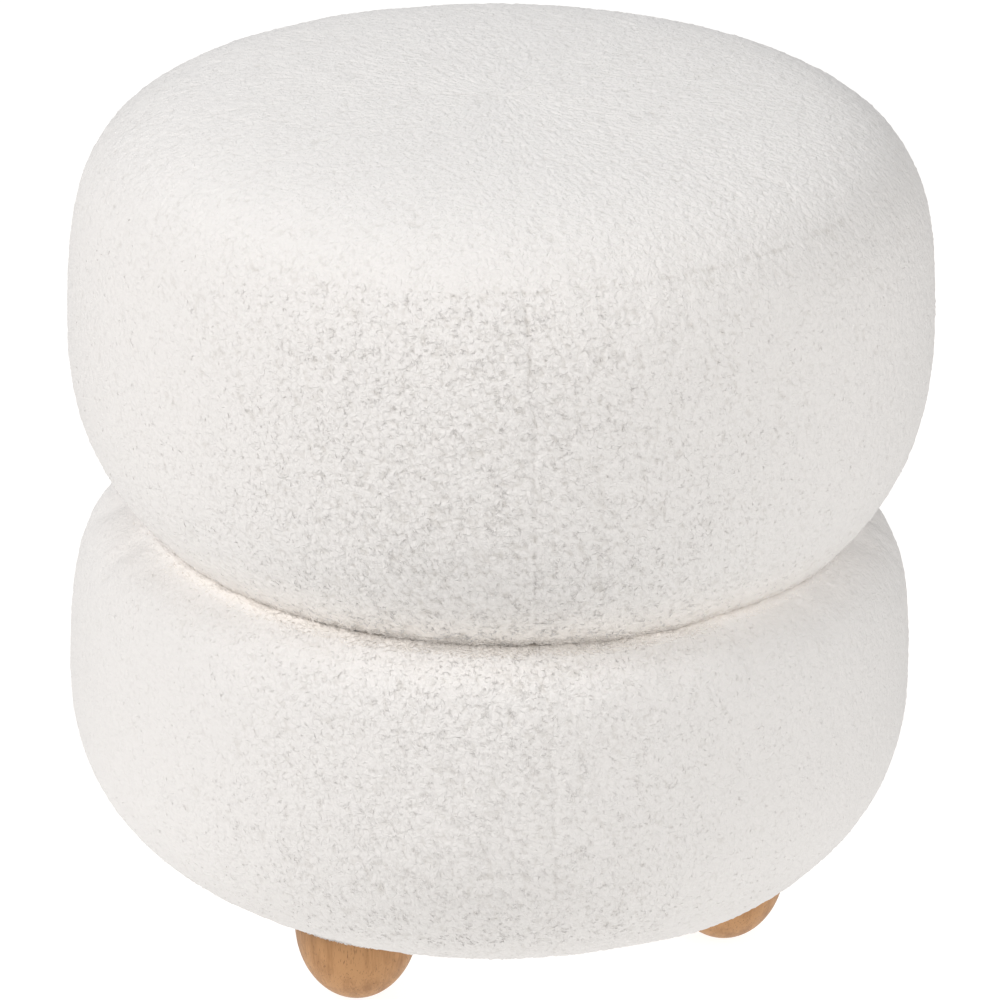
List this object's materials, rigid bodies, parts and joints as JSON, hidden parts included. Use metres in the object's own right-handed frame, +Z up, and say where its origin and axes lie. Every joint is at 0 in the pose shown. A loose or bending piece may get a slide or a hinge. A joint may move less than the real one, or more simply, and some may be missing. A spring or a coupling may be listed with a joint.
{
  "type": "footstool",
  "caption": "Round two-tier upholstered footstool: two stacked filled cushions in looped off-white cloth on short wooden ball feet.",
  "frame": {"origin": "on the floor, under the middle of the object's outer box", "axes": "+Z up through both cushions, -Y towards the front with the side seams, +X to the right"},
  "size_m": [0.4005, 0.3995, 0.4125],
  "materials": {
    "looped_cloth": "off-white looped boucle cloth, matt and soft",
    "oiled_wood": "light brown turned wood with a satin oil finish"
  },
  "bodies": {
    "root": {"upper_cushion": "looped_cloth", "lower_cushion": "looped_cloth", "foot_front": "oiled_wood", "foot_right": "oiled_wood", "foot_rear": "oiled_wood"}
  },
  "joints": []
}
